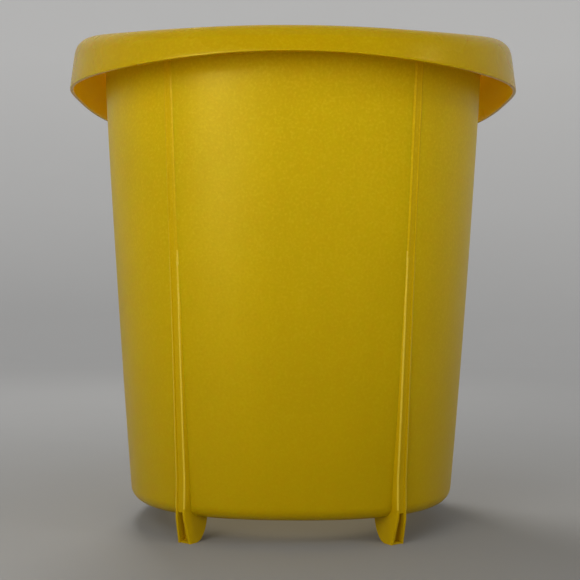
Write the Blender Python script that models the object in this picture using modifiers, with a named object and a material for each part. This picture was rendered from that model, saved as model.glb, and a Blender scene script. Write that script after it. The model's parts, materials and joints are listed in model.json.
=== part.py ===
"""Yellow swing-top bin for biohazard waste, modelled in metres with +Z up.

The bin stands on the plane z = 0 with its front towards -Y. The tub, its ribs and
its feet are one moulding. The lid frame lifts straight off the tub, and the flap
swings both ways in the frame about the X axis.
"""

import math

import bmesh
import bpy
from mathutils import Matrix, Vector

# ---------------------------------------------------------------- driving sizes
SQUARENESS = 2.4          # power of the rounded-square plan; 2 would be a circle
TURN_STEPS = 64           # facets around the large shapes

# tub
UNDERSIDE_Z = 0.0142      # the feet hold the tub this high
FOOT_HALF_WIDTH = 0.1004  # half width of the tub at its underside, before rounding
TAPER = 0.0704            # growth in half width per unit of height
WALL_BOW = 0.0009         # the wall swells this much halfway up
WALL_BOW_Z = 0.140        # middle of the swelling
WALL_BOW_REACH = 0.120    # height from its middle to its ends
WALL = 0.0022
HEEL_RADIUS = 0.0085      # rounding between wall and underside
RIM_TOP_Z = 0.2850        # mean height of the tub's rim
RIM_HALF_WIDTH = 0.1270
RIM_LIP_DROP = 0.0056

# ribs and feet
RIB_ANGLE = math.radians(34.2)   # away from the front and back centre lines
RIB_TOP_Z = 0.2770
RIB_HALF_WIDTH_TOP = 0.0024
RIB_HALF_WIDTH_KNEE = 0.0034     # where the rib turns into its foot
RIB_HALF_WIDTH_FOOT = 0.0046
FOOT_CHANNEL_TOP_Z = 0.0180
FOOT_CHANNEL_HALF_WIDTH_TOP = 0.0017
FOOT_CHANNEL_HALF_WIDTH_LOW = 0.0029
FOOT_SOLE = 0.0012               # thickness of the plate a foot stands on

# vaulted rim: low at the front and back, high at the sides
CROWN_SIDE_RISE = 0.0091
CROWN_CORNER_DIP = 0.0026
SKIRT_SIDE_RISE = 0.0002
SKIRT_CORNER_DIP = 0.0020

# lid frame
SKIRT_EDGE_Z = 0.2639
SKIRT_HALF_WIDTH = 0.1396
SKIRT_LEAN = 0.170
CROWN_Z = 0.2891
CROWN_RADIUS = 0.0130
THROAT_HALF_WIDTH = 0.1065
CROWN_START_Z = 0.2824    # everything above this height follows the crown in full
CROWN_FADE_Z = 0.2614     # below this height the tub is level all round

# flap and its pivots
PIVOT_Z = 0.2834
FLAP_HALF_WIDTH = 0.1033
FLAP_CENTRE_Z = 0.3039
FLAP_EDGE_Z = 0.2895
PIN_RADIUS = 0.0030
BUSH_BORE_RADIUS = 0.0031
CHEEK_X = 0.0980          # middle of the flap's cheek plates
CHEEK_THICK = 0.0030
LUG_X = 0.1082            # middle of the frame's lug plates
LUG_THICK = 0.0028
BAR_DROP = 0.0200         # the balance bar hangs this far below the pivot
BAR_RADIUS = 0.0045
STOP_ANGLE = math.radians(65.0)
STOP_HEAD_RADIUS = 0.0036
BUFFER_RADIUS = 0.0032
GAP = 0.0003              # between neighbours that touch

MOULDED_YELLOW = (0.66, 0.47, 0.012, 1.0)


# ---------------------------------------------------------------- scene helpers
def clear_scene():
    for thing in list(bpy.data.objects):
        bpy.data.objects.remove(thing, do_unlink=True)


def new_collection(name):
    collection = bpy.data.collections.new(name)
    bpy.context.scene.collection.children.link(collection)
    return collection


def new_material(name, colour, roughness, metallic=0.0):
    material = bpy.data.materials.new(name)
    material.use_nodes = True
    shader = material.node_tree.nodes["Principled BSDF"]
    shader.inputs["Base Color"].default_value = colour
    shader.inputs["Roughness"].default_value = roughness
    shader.inputs["Metallic"].default_value = metallic
    return material


def add_object(name, mesh, collection, material=None):
    thing = bpy.data.objects.new(name, mesh)
    collection.objects.link(thing)
    if material is not None:
        mesh.materials.clear()
        mesh.materials.append(material)
    mesh.shade_smooth()
    mesh.set_sharp_from_angle(angle=math.radians(35))
    return thing


def as_guide(thing):
    thing.hide_render = True
    thing.display_type = "WIRE"
    return thing


def baked_mesh(thing, name):
    """The evaluated mesh of an object, welded, as a mesh of its own."""
    bpy.context.view_layer.update()
    graph = bpy.context.evaluated_depsgraph_get()
    mesh = bpy.data.meshes.new_from_object(thing.evaluated_get(graph))
    mesh.name = name
    work = bmesh.new()
    work.from_mesh(mesh)
    bmesh.ops.remove_doubles(work, verts=work.verts, dist=0.000005)
    work.to_mesh(mesh)
    work.free()
    bpy.data.objects.remove(thing, do_unlink=True)
    return mesh


def boolean(thing, other, operation):
    step = thing.modifiers.new(operation.title() + " " + other.name, "BOOLEAN")
    step.operation = operation
    step.object = other
    step.solver = "EXACT"


# ---------------------------------------------------------------- shape helpers
def plan_stretch(angle):
    """How far the rounded-square plan reaches past its half width at an angle."""
    across = abs(math.sin(angle)) ** SQUARENESS
    along = abs(math.cos(angle)) ** SQUARENESS
    return (across + along) ** (-1.0 / SQUARENESS)


def crown_wave(angle):
    side = -CROWN_SIDE_RISE * math.cos(2 * angle)
    return side + CROWN_CORNER_DIP * math.cos(4 * angle)


def skirt_wave(angle):
    side = -SKIRT_SIDE_RISE * math.cos(2 * angle)
    return side + SKIRT_CORNER_DIP * math.cos(4 * angle)


def share(z, low, high):
    return min(max((z - low) / (high - low), 0.0), 1.0)


def tub_height(half_width, z, angle):
    return z + share(z, CROWN_FADE_Z, CROWN_START_Z) * crown_wave(angle)


def frame_height(half_width, z, angle):
    crown = share(z, SKIRT_EDGE_Z, CROWN_START_Z)
    return z + crown * crown_wave(angle) + (1 - crown) * skirt_wave(angle)


def flap_height(half_width, z, angle):
    edge = FLAP_EDGE_Z + crown_wave(angle)
    reach = (half_width / FLAP_HALF_WIDTH) ** 2
    return FLAP_CENTRE_Z + (edge - FLAP_CENTRE_Z) * reach + z


def arc(centre_a, centre_z, radius, start, end, count):
    """Points on a round corner; angles in degrees from +A towards +Z."""
    points = []
    for index in range(count):
        angle = math.radians(start + (end - start) * index / (count - 1))
        points.append((centre_a + radius * math.cos(angle), centre_z + radius * math.sin(angle)))
    return points


def turned_mesh(name, outline, closed, steps):
    """A profile of (radius, height) points turned about Z with a Screw modifier."""
    count = len(outline)
    edges = [(index, index + 1) for index in range(count - 1)]
    if closed:
        edges.append((count - 1, 0))
    mesh = bpy.data.meshes.new(name)
    mesh.from_pydata([(radius, 0.0, height) for radius, height in outline], edges, [])
    thing = bpy.data.objects.new(name, mesh)
    bpy.context.scene.collection.objects.link(thing)
    turn = thing.modifiers.new("Turn", "SCREW")
    turn.axis = "Z"
    turn.steps = steps
    turn.render_steps = steps
    turn.use_merge_vertices = True
    turn.merge_threshold = 0.00001
    return baked_mesh(thing, name)


def squared_mesh(name, outline, closed, height_rule):
    """A turned mesh pushed out to the rounded-square plan and to a height rule."""
    mesh = turned_mesh(name, outline, closed, TURN_STEPS)
    for vertex in mesh.vertices:
        radius = math.hypot(vertex.co.x, vertex.co.y)
        angle = math.atan2(vertex.co.x, -vertex.co.y)
        height = height_rule(radius, vertex.co.z, angle)
        stretch = plan_stretch(angle)
        vertex.co = Vector((vertex.co.x * stretch, vertex.co.y * stretch, height))
    return mesh


def plate_mesh(name, outline, thickness):
    """A flat outline given thickness; it lies in local XY and is centred on z = 0."""
    curve = bpy.data.curves.new(name, "CURVE")
    curve.dimensions = "2D"
    curve.fill_mode = "BOTH"
    curve.extrude = thickness / 2
    spline = curve.splines.new("POLY")
    spline.points.add(len(outline) - 1)
    for point, (u, v) in zip(spline.points, outline):
        point.co = (u, v, 0.0, 1.0)
    spline.use_cyclic_u = True
    thing = bpy.data.objects.new(name, curve)
    bpy.context.scene.collection.objects.link(thing)
    return baked_mesh(thing, name)


def cylinder_mesh(name, radius, length, sides):
    """A closed cylinder along X, centred on its origin."""
    mesh = bpy.data.meshes.new(name)
    work = bmesh.new()
    bmesh.ops.create_cone(work, cap_ends=True, segments=sides, radius1=radius,
                          radius2=radius, depth=length)
    bmesh.ops.rotate(work, verts=work.verts, matrix=Matrix.Rotation(math.pi / 2, 3, "Y"))
    work.to_mesh(mesh)
    work.free()
    return mesh


def turned_along_x(name, outline, closed, steps, side):
    """A profile of (radius, distance from the middle plane) turned about X."""
    mesh = turned_mesh(name, outline, closed, steps)
    mesh.transform(Matrix.Rotation(side * math.pi / 2, 4, "Y"))
    return mesh


# ---------------------------------------------------------------- tub
def wall_half_width(z):
    swelling = WALL_BOW * (1 - ((z - WALL_BOW_Z) / WALL_BOW_REACH) ** 2)
    return FOOT_HALF_WIDTH + TAPER * (z - UNDERSIDE_Z) + swelling


def tub_outline():
    heel_z = UNDERSIDE_Z + HEEL_RADIUS
    heel_a = wall_half_width(heel_z) - HEEL_RADIUS
    wall_levels = [0.06, 0.10, 0.14, 0.18, 0.22, CROWN_FADE_Z, 0.272]
    lip_z = RIM_TOP_Z - RIM_LIP_DROP
    flange_z = RIM_TOP_Z - 0.0020
    outline = [(0.0, UNDERSIDE_Z + WALL)]
    outline += arc(heel_a, heel_z, HEEL_RADIUS - WALL, -90, 0, 6)
    outline += [(wall_half_width(z) - WALL, z) for z in wall_levels]
    outline += [(wall_half_width(RIM_TOP_Z) - WALL, RIM_TOP_Z)]
    outline += [(RIM_HALF_WIDTH - 0.0010, RIM_TOP_Z), (RIM_HALF_WIDTH, RIM_TOP_Z - 0.0010)]
    outline += [(RIM_HALF_WIDTH, lip_z), (RIM_HALF_WIDTH - 0.0018, lip_z)]
    outline += [(RIM_HALF_WIDTH - 0.0018, flange_z), (wall_half_width(flange_z), flange_z)]
    outline += [(wall_half_width(z), z) for z in reversed(wall_levels)]
    outline += arc(heel_a, heel_z, HEEL_RADIUS, 0, -90, 7)
    outline += [(0.0, UNDERSIDE_Z)]
    return outline


def rib_outline():
    """Side view of one rib and its foot: distance from the axis, height."""
    stretch = plan_stretch(RIB_ANGLE)
    heel_z = UNDERSIDE_Z + HEEL_RADIUS
    heel_a = wall_half_width(heel_z) - HEEL_RADIUS
    stands_out = [(RIB_TOP_Z, 0.0004), (0.2200, 0.0004), (0.1800, 0.0005), (0.1400, 0.0008)]
    stands_out += [(0.1100, 0.0013), (0.0850, 0.0019), (0.0600, 0.0026), (0.0367, 0.0031)]
    outline = [(wall_half_width(z) * stretch + proud, z) for z, proud in stands_out]
    outline += [(0.1108, 0.0200), (0.1104, UNDERSIDE_Z), (0.1068, 0.0)]
    outline += [(0.1010, 0.0), (0.0983, 0.0008), (0.0955, 0.0030), (0.0932, 0.0062)]
    outline += [(0.0915, 0.0100), (0.0903, UNDERSIDE_Z), (0.0903, UNDERSIDE_Z + WALL / 2)]
    middle = arc(heel_a, heel_z, HEEL_RADIUS - WALL / 2, -70, 0, 4)
    middle += [(wall_half_width(z) - WALL / 2, z) for z in (0.10, 0.14, 0.18, 0.22, RIB_TOP_Z)]
    outline += [(half_width * stretch, z) for half_width, z in middle]
    return outline


def rib_half_width(z):
    foot = share(z, 0.0, FOOT_CHANNEL_TOP_Z)
    rise = share(z, FOOT_CHANNEL_TOP_Z, RIB_TOP_Z)
    width = RIB_HALF_WIDTH_FOOT + (RIB_HALF_WIDTH_KNEE - RIB_HALF_WIDTH_FOOT) * foot
    return width + (RIB_HALF_WIDTH_TOP - RIB_HALF_WIDTH_KNEE) * rise


def channel_half_width(z):
    low, top = FOOT_CHANNEL_HALF_WIDTH_LOW, FOOT_CHANNEL_HALF_WIDTH_TOP
    return low + (top - low) * share(z, 0.0, FOOT_CHANNEL_TOP_Z)


def stand_on_azimuth(mesh, angle):
    """Turn a side-view plate (XY) upright and out along an angle from the front."""
    upright = Matrix.Rotation(math.pi / 2, 4, "X")
    mesh.transform(Matrix.Rotation(angle - math.pi / 2, 4, "Z") @ upright)


def add_rib(tub, name, angle, collection):
    mesh = plate_mesh(name, rib_outline(), 2.0)
    for vertex in mesh.vertices:
        vertex.co.z *= rib_half_width(vertex.co.y)
    stand_on_azimuth(mesh, angle)
    boolean(tub, as_guide(add_object(name, mesh, collection)), "UNION")


def add_foot_slots(tub, name, angle, collection):
    """A foot is open outwards and inwards, with a web between and a sole below."""
    top = FOOT_CHANNEL_TOP_Z
    outer = [(0.1060, top), (0.1160, top), (0.1160, FOOT_SOLE), (0.1022, FOOT_SOLE)]
    inner = [(0.0850, 0.0126), (0.1030, 0.0126), (0.1000, FOOT_SOLE), (0.0850, FOOT_SOLE)]
    for label, outline in (("Outer", outer), ("Inner", inner)):
        mesh = plate_mesh(name + label, outline, 2.0)
        for vertex in mesh.vertices:
            vertex.co.z *= channel_half_width(vertex.co.y)
        stand_on_azimuth(mesh, angle)
        boolean(tub, as_guide(add_object(name + label, mesh, collection)), "DIFFERENCE")


def make_tub(parts, cutters, material):
    mesh = squared_mesh("tub", tub_outline(), False, tub_height)
    tub = add_object("tub", mesh, parts, material)
    angles = [RIB_ANGLE, -RIB_ANGLE, math.pi - RIB_ANGLE, math.pi + RIB_ANGLE]
    for number, angle in enumerate(angles, start=1):
        add_rib(tub, "RibBlank" + str(number), angle, cutters)
    for number, angle in enumerate(angles, start=1):
        add_foot_slots(tub, "FootSlot" + str(number), angle, cutters)
    return tub


# ---------------------------------------------------------------- lid frame
def frame_outline():
    """Section of the lid frame as (half width, mean height), a closed loop."""
    centre_z = CROWN_Z - CROWN_RADIUS
    lean_angle = math.degrees(math.atan(SKIRT_LEAN))
    corner_z = centre_z + CROWN_RADIUS * math.sin(math.radians(lean_angle))
    corner_a = SKIRT_HALF_WIDTH - SKIRT_LEAN * (corner_z - SKIRT_EDGE_Z)
    centre_a = corner_a - CROWN_RADIUS * math.cos(math.radians(lean_angle))
    inner = CROWN_RADIUS - WALL
    throat = THROAT_HALF_WIDTH
    top = CROWN_Z + 0.0012
    under = CROWN_Z - WALL
    spigot_z = CROWN_Z - 0.0267
    outline = [(throat, top - 0.0011), (throat + 0.0007, top - 0.0003), (throat + 0.0020, top)]
    outline += [(0.1180, top - 0.0003)]
    outline += arc(centre_a, centre_z, CROWN_RADIUS, 90, lean_angle, 7)
    outline += [(SKIRT_HALF_WIDTH, SKIRT_EDGE_Z + 0.0005), (SKIRT_HALF_WIDTH - 0.0006, SKIRT_EDGE_Z)]
    outline += [(SKIRT_HALF_WIDTH - 0.0016, SKIRT_EDGE_Z), (SKIRT_HALF_WIDTH - WALL, SKIRT_EDGE_Z + 0.0005)]
    outline += arc(centre_a, centre_z, inner, lean_angle, 90, 5)
    outline += [(0.1157, under), (0.1153, CROWN_START_Z), (0.1143, spigot_z)]
    outline += [(0.1123, spigot_z), (0.1131, CROWN_START_Z), (0.1135, under + 0.0007)]
    outline += [(throat + 0.0020, under + 0.0009), (throat + 0.0020, CROWN_Z - 0.0097)]
    outline += [(throat, CROWN_Z - 0.0097)]
    return outline


def stop_buffer_place(front):
    """Distance along Y and height of a buffer that stops the balance screw's head."""
    head = math.asin(STOP_HEAD_RADIUS / BAR_DROP)
    pad = math.asin(BUFFER_RADIUS / BAR_DROP)
    angle = STOP_ANGLE + head + pad + math.radians(0.5)
    return front * BAR_DROP * math.sin(angle), PIVOT_Z - BAR_DROP * math.cos(angle)


def make_lid_frame(parts, cutters, material):
    mesh = squared_mesh("lid_frame", frame_outline(), True, frame_height)
    frame = add_object("lid_frame", mesh, parts, material)
    top, waist, low = PIVOT_Z + 0.0166, PIVOT_Z - 0.0050, PIVOT_Z - 0.0115
    lug = [(-0.0260, top), (-0.0260, waist), (-0.0120, low)]
    lug += [(0.0120, low), (0.0260, waist), (0.0260, top)]
    for side, label in ((-1, "Left"), (1, "Right")):
        mesh = plate_mesh("Lug" + label, lug, LUG_THICK)
        mesh.transform(Matrix.Rotation(math.pi / 2, 4, "Z") @ Matrix.Rotation(math.pi / 2, 4, "X"))
        mesh.transform(Matrix.Translation((side * LUG_X, 0.0, 0.0)))
        plate = as_guide(add_object("Lug" + label, mesh, cutters))
        holes = [("BushHole" + label, 0.0049, 0.0, PIVOT_Z)]
        for front, end in ((-1, "Front"), (1, "Back")):
            holes.append(("BufferHole" + label + end, 0.0018) + stop_buffer_place(front))
        for name, radius, y, z in holes:
            hole = as_guide(add_object(name, cylinder_mesh(name, radius, 0.0060, 20), cutters))
            hole.location = (side * LUG_X, y, z)
            boolean(plate, hole, "DIFFERENCE")
        boolean(frame, plate, "UNION")
    return frame


def make_rim_seal(parts, material):
    low = RIM_TOP_Z + GAP
    high = CROWN_Z - WALL - GAP
    outline = [(0.1180, high), (0.1236, high), (0.1236, low), (0.1180, low)]
    mesh = squared_mesh("rim_seal", outline, True, frame_height)
    return add_object("rim_seal", mesh, parts, material)


# ---------------------------------------------------------------- flap
def flap_outline():
    """Section of the flap: half width, depth below its own curved top."""
    edge = FLAP_HALF_WIDTH
    outline = [(0.0, 0.0), (0.030, 0.0), (0.060, 0.0), (0.085, 0.0), (0.0990, 0.0)]
    outline += [(edge - 0.0012, -0.0003), (edge - 0.0003, -0.0012), (edge, -0.0025), (edge, -0.0080)]
    outline += [(edge - 0.0018, -0.0080), (edge - 0.0018, -0.0030), (0.0990, -0.0020)]
    outline += [(0.085, -0.0020), (0.060, -0.0020), (0.030, -0.0020), (0.0, -0.0020)]
    return outline


def cheek_outline():
    bar_z = PIVOT_Z - BAR_DROP
    top = PIVOT_Z + 0.0168
    outline = [(0.0130, top), (-0.0130, top), (-0.0090, PIVOT_Z)]
    outline += arc(0.0, bar_z, 0.0070, 180, 360, 9)
    outline += [(0.0090, PIVOT_Z)]
    return outline


def make_flap(parts, cutters, material, axle):
    mesh = squared_mesh("swing_flap", flap_outline(), False, flap_height)
    mesh.transform(Matrix.Translation((0.0, 0.0, -PIVOT_Z)))
    flap = add_object("swing_flap", mesh, parts, material)
    flap.parent = axle
    for side, label in ((-1, "Left"), (1, "Right")):
        plate = plate_mesh("Cheek" + label, cheek_outline(), CHEEK_THICK)
        plate.transform(Matrix.Rotation(math.pi / 2, 4, "Z") @ Matrix.Rotation(math.pi / 2, 4, "X"))
        plate.transform(Matrix.Translation((side * CHEEK_X, 0.0, 0.0)))
        boolean(flap, as_guide(add_object("Cheek" + label, plate, cutters)), "UNION")
    for side, label in ((-1, "Left"), (1, "Right")):
        for what, radius, drop in (("PinHole", PIN_RADIUS + GAP, 0.0), ("ScrewHole", 0.0023, BAR_DROP)):
            name = what + label
            hole = as_guide(add_object(name, cylinder_mesh(name, radius, 0.0060, 20), cutters))
            hole.location = (side * CHEEK_X, 0.0, PIVOT_Z - drop)
            boolean(flap, hole, "DIFFERENCE")
    return flap


def pin_outline():
    """Pivot pin from its head to the end that takes the clip: radius, distance."""
    head_start = CHEEK_X - CHEEK_THICK / 2 - GAP - 0.0020
    shank_start = head_start + 0.0020
    outline = [(0.0, 0.1116), (0.0024, 0.1116), (PIN_RADIUS, 0.1112), (PIN_RADIUS, 0.1110)]
    outline += [(0.0025, 0.1110), (0.0025, 0.1101), (PIN_RADIUS, 0.1101)]
    outline += [(PIN_RADIUS, shank_start), (0.0052, shank_start), (0.0052, head_start + 0.0006)]
    outline += [(0.0044, head_start), (0.0, head_start)]
    return outline


def bush_outline():
    outline = [(0.0060, 0.1055), (BUSH_BORE_RADIUS, 0.1055), (BUSH_BORE_RADIUS, 0.1099)]
    outline += [(0.0046, 0.1099), (0.0046, 0.1065), (0.0060, 0.1065)]
    return outline


def clip_outline():
    return [(0.0028, 0.1102), (0.0028, 0.1108), (0.0054, 0.1108), (0.0054, 0.1102)]


def balance_screw_outline():
    """Shoulder screw; its long plain head is also the flap's travel stop."""
    seat = CHEEK_X + CHEEK_THICK / 2 + GAP
    outline = [(0.0, 0.1036), (0.0018, 0.1036), (0.0018, 0.1058), (0.0030, 0.1058)]
    outline += [(STOP_HEAD_RADIUS, 0.1052), (STOP_HEAD_RADIUS, seat), (0.0020, seat)]
    outline += [(0.0020, 0.0868), (0.0012, 0.0860), (0.0, 0.0860)]
    return outline


def buffer_outline():
    outline = [(0.0, 0.1108), (0.0015, 0.1108), (0.0022, 0.1101), (0.0022, 0.1099)]
    outline += [(0.0015, 0.1099), (0.0015, 0.1065), (BUFFER_RADIUS, 0.1065)]
    outline += [(BUFFER_RADIUS, 0.1046), (BUFFER_RADIUS - 0.0006, 0.1040), (0.0, 0.1040)]
    return outline


def place_turned(name, outline, closed, side, y, z, collection, material, parent=None, steps=16):
    mesh = turned_along_x(name, outline, closed, steps, side)
    thing = add_object(name, mesh, collection, material)
    thing.location = (0.0, y, z)
    if parent is not None:
        thing.parent = parent
        thing.location = (0.0, y, z - PIVOT_Z)
    return thing


def make_balance_bar(parts, cutters, material, axle):
    length = 2 * (CHEEK_X - CHEEK_THICK / 2 - GAP)
    bar = add_object("balance_bar", cylinder_mesh("balance_bar", BAR_RADIUS, length, 24), parts, material)
    bar.parent = axle
    bar.location = (0.0, 0.0, -BAR_DROP)
    for side, label in ((-1, "Left"), (1, "Right")):
        name = "BarHole" + label
        hole = as_guide(add_object(name, cylinder_mesh(name, 0.0023, 0.0260, 16), cutters))
        hole.location = (side * length / 2, 0.0, PIVOT_Z - BAR_DROP)
        boolean(bar, hole, "DIFFERENCE")
    return bar


# ---------------------------------------------------------------- whole bin
def build_bin():
    clear_scene()
    parts = new_collection("BiohazardWasteBin")
    cutters = new_collection("Cutters")
    body_yellow = new_material("BodyYellow", MOULDED_YELLOW, 0.48)
    lid_yellow = new_material("LidYellow", (0.66, 0.48, 0.014, 1.0), 0.45)
    flap_yellow = new_material("FlapYellow", (0.64, 0.46, 0.013, 1.0), 0.45)
    steel = new_material("Steel", (0.62, 0.62, 0.63, 1.0), 0.30, 1.0)
    nylon = new_material("WhiteNylon", (0.80, 0.79, 0.74, 1.0), 0.50)
    rubber = new_material("BlackRubber", (0.020, 0.020, 0.021, 1.0), 0.80)
    seal_rubber = new_material("GreyRubber", (0.16, 0.16, 0.16, 1.0), 0.85)

    axle = bpy.data.objects.new("FlapAxis", None)
    parts.objects.link(axle)
    axle.location = (0.0, 0.0, PIVOT_Z)

    make_tub(parts, cutters, body_yellow)
    make_lid_frame(parts, cutters, lid_yellow)
    make_rim_seal(parts, seal_rubber)
    make_flap(parts, cutters, flap_yellow, axle)
    make_balance_bar(parts, cutters, steel, axle)
    bar_z = PIVOT_Z - BAR_DROP
    for side, label in ((-1, "left"), (1, "right")):
        place_turned("pivot_pin_" + label, pin_outline(), False, side, 0.0, PIVOT_Z, parts, steel, axle, 20)
        place_turned("pin_clip_" + label, clip_outline(), True, side, 0.0, PIVOT_Z, parts, steel, axle)
        place_turned("balance_screw_" + label, balance_screw_outline(), False, side, 0.0, bar_z, parts, steel, axle)
        place_turned("pivot_bush_" + label, bush_outline(), True, side, 0.0, PIVOT_Z, parts, nylon, None, 20)
        for front, end in ((-1, "front"), (1, "back")):
            y, z = stop_buffer_place(front)
            name = "stop_buffer_" + end + "_" + label
            place_turned(name, buffer_outline(), False, side, y, z, parts, rubber)
    bpy.context.view_layer.update()


build_bin()
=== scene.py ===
import json
import math

import bmesh
import bpy
from mathutils import Matrix, Vector


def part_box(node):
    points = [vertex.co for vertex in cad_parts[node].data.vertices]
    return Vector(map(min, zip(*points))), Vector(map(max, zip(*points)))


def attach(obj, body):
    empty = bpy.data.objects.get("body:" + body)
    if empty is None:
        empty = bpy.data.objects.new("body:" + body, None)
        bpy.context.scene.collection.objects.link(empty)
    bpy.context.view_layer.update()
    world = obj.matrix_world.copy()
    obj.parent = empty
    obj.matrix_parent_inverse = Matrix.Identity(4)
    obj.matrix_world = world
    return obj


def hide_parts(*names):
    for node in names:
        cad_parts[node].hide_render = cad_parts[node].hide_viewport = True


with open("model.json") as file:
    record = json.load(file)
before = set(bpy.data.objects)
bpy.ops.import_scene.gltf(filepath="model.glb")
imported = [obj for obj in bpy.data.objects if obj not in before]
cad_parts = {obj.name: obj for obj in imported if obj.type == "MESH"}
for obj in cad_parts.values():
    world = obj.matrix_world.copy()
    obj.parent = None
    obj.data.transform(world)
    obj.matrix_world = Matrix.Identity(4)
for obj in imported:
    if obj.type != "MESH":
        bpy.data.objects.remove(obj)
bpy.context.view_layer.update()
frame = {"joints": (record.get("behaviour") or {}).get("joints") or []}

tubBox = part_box("tub")
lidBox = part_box("lid_frame")
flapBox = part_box("swing_flap")
hingeHeight = next(j for j in frame["joints"] if j["name"] == "flap_swing")["pos_m"][2]

# plan and vault shared by the tub's rim, the lid frame and the flap
rimForm = {
    "squareness": 2.4,        # 2 is a circle, more is squarer
    "steps": 256,             # divisions round the bin
    "crownSideRise": 0.0091,  # the rim is high at its sides and low at front and back
    "crownCornerDip": 0.0026,
    "skirtSideRise": 0.0002,
    "skirtCornerDip": 0.0020,
    "crownStart": 0.2824,
    "crownFade": 0.2614,
}


def planStretch(angle):
    power = rimForm["squareness"]
    total = abs(math.sin(angle)) ** power + abs(math.cos(angle)) ** power
    return total ** (-1 / power)


def crownWave(angle):
    sideRise, cornerDip = rimForm["crownSideRise"], rimForm["crownCornerDip"]
    return -sideRise * math.cos(2 * angle) + cornerDip * math.cos(4 * angle)


def skirtWave(angle):
    sideRise, cornerDip = rimForm["skirtSideRise"], rimForm["skirtCornerDip"]
    return -sideRise * math.cos(2 * angle) + cornerDip * math.cos(4 * angle)


def share(value, low, high):
    return min(max((value - low) / (high - low), 0), 1)


def ease(value, low, high):
    t = share(value, low, high)
    return t * t * (3 - 2 * t)


def along(points, x):
    # straight-line reading between (x, y) points sorted by x
    for (x0, y0), (x1, y1) in zip(points, points[1:]):
        if x <= x1:
            return y0 + (y1 - y0) * share(x, x0, x1)
    return points[-1][1]


def arc(centreA, centreZ, radius, start, end, count):
    turns = [math.radians(start + (end - start) * i / (count - 1)) for i in range(count)]
    return [(centreA + radius * math.cos(t), centreZ + radius * math.sin(t)) for t in turns]


def onPlan(halfWidth, height, angle):
    reach = halfWidth * planStretch(angle)
    return Vector((reach * math.sin(angle), -reach * math.cos(angle), height))


def softenCorners(outline, size, closed=False):
    # each listed corner becomes a short round made of three points
    rounded = []
    count = len(outline)
    for i, corner in enumerate(outline):
        here = Vector(corner[:2])
        if not closed and i in (0, count - 1) or len(corner) < 3:
            rounded.append(tuple(here))
            continue
        before = Vector(outline[i - 1][:2])
        after = Vector(outline[(i + 1) % count][:2])
        cut = min(size * corner[2], (before - here).length * 0.45, (after - here).length * 0.45)
        first = here + (before - here).normalized() * cut
        last = here + (after - here).normalized() * cut
        rounded += [tuple(first), tuple(here * 0.5 + (first + last) * 0.25), tuple(last)]
    return rounded


def addObject(name, data):
    item = bpy.data.objects.new(name, data)
    bpy.context.scene.collection.objects.link(item)
    return item


def makePiece(name, bodyName, material, mesh):
    piece = addObject(name, mesh)
    piece.data.materials.clear()
    piece.data.materials.append(material)
    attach(piece, bodyName)
    return piece


def skinRows(name, rows, closeSection, sharpAngle=38):
    # rows of points, one row for each outline point; a row of one point is a pole
    mesh = bpy.data.meshes.new(name)
    work = bmesh.new()
    verts = [[work.verts.new(p) for p in row] for row in rows]
    pairs = list(zip(verts, verts[1:]))
    if closeSection:
        pairs.append((verts[-1], verts[0]))
    for upper, lower in pairs:
        count = max(len(upper), len(lower))
        for i in range(count):
            k = (i + 1) % count
            if len(upper) == 1:
                work.faces.new((upper[0], lower[i], lower[k]))
            elif len(lower) == 1:
                work.faces.new((upper[k], upper[i], lower[0]))
            else:
                work.faces.new((upper[k], upper[i], lower[i], lower[k]))
    bmesh.ops.recalc_face_normals(work, faces=work.faces)
    work.to_mesh(mesh)
    work.free()
    mesh.shade_smooth()
    mesh.set_sharp_from_angle(angle=math.radians(sharpAngle))
    return mesh


def closeEnds(mesh):
    work = bmesh.new()
    work.from_mesh(mesh)
    bmesh.ops.holes_fill(work, edges=[e for e in work.edges if e.is_boundary], sides=0)
    bmesh.ops.recalc_face_normals(work, faces=work.faces)
    work.to_mesh(mesh)
    work.free()
    return mesh


def roundTheBin(name, outline, closed, heightRule, bulge=None):
    steps = rimForm["steps"]
    rows = []
    for halfWidth, height in outline:
        if halfWidth < 1e-6:
            rows.append([Vector((0, 0, heightRule(0, height, 0)))])
            continue
        row = []
        for i in range(steps):
            angle = 2 * math.pi * i / steps
            extra = bulge(angle, height) if bulge else 0
            row.append(onPlan(halfWidth + extra, heightRule(halfWidth, height, angle), angle))
        rows.append(row)
    return skinRows(name, rows, closed)


# shared by every material

def newMaterial(name):
    material = bpy.data.materials.new(name)
    material.use_nodes = True
    nodes = material.node_tree.nodes
    links = material.node_tree.links
    return material, nodes, links, nodes["Principled BSDF"]


def place(nodes, links, kind, settings=None, sockets=None, feeds=None):
    node = nodes.new(kind)
    for key, value in (settings or {}).items():
        setattr(node, key, value)
    for key, value in (sockets or {}).items():
        node.inputs[key].default_value = value
    for key, source in (feeds or {}).items():
        links.new(source, node.inputs[key])
    return node


def vectorMath(nodes, links, operation, output, feeds, sockets=None):
    node = place(nodes, links, "ShaderNodeVectorMath", {"operation": operation}, sockets, feeds)
    return node.outputs[output]


def noise(nodes, links, coords, scale, detail=2.0, rough=0.5, stretch=(1, 1, 1)):
    mapped = place(nodes, links, "ShaderNodeMapping",
                   sockets={"Scale": stretch}, feeds={"Vector": coords})
    return place(nodes, links, "ShaderNodeTexNoise",
                 sockets={"Scale": scale, "Detail": detail, "Roughness": rough},
                 feeds={"Vector": mapped.outputs["Vector"]}).outputs["Fac"]


def remap(nodes, links, source, low, high, toLow, toHigh):
    node = place(nodes, links, "ShaderNodeMapRange",
                 sockets={"From Min": low, "From Max": high, "To Min": toLow, "To Max": toHigh},
                 feeds={"Value": source})
    return node.outputs["Result"]


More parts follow.
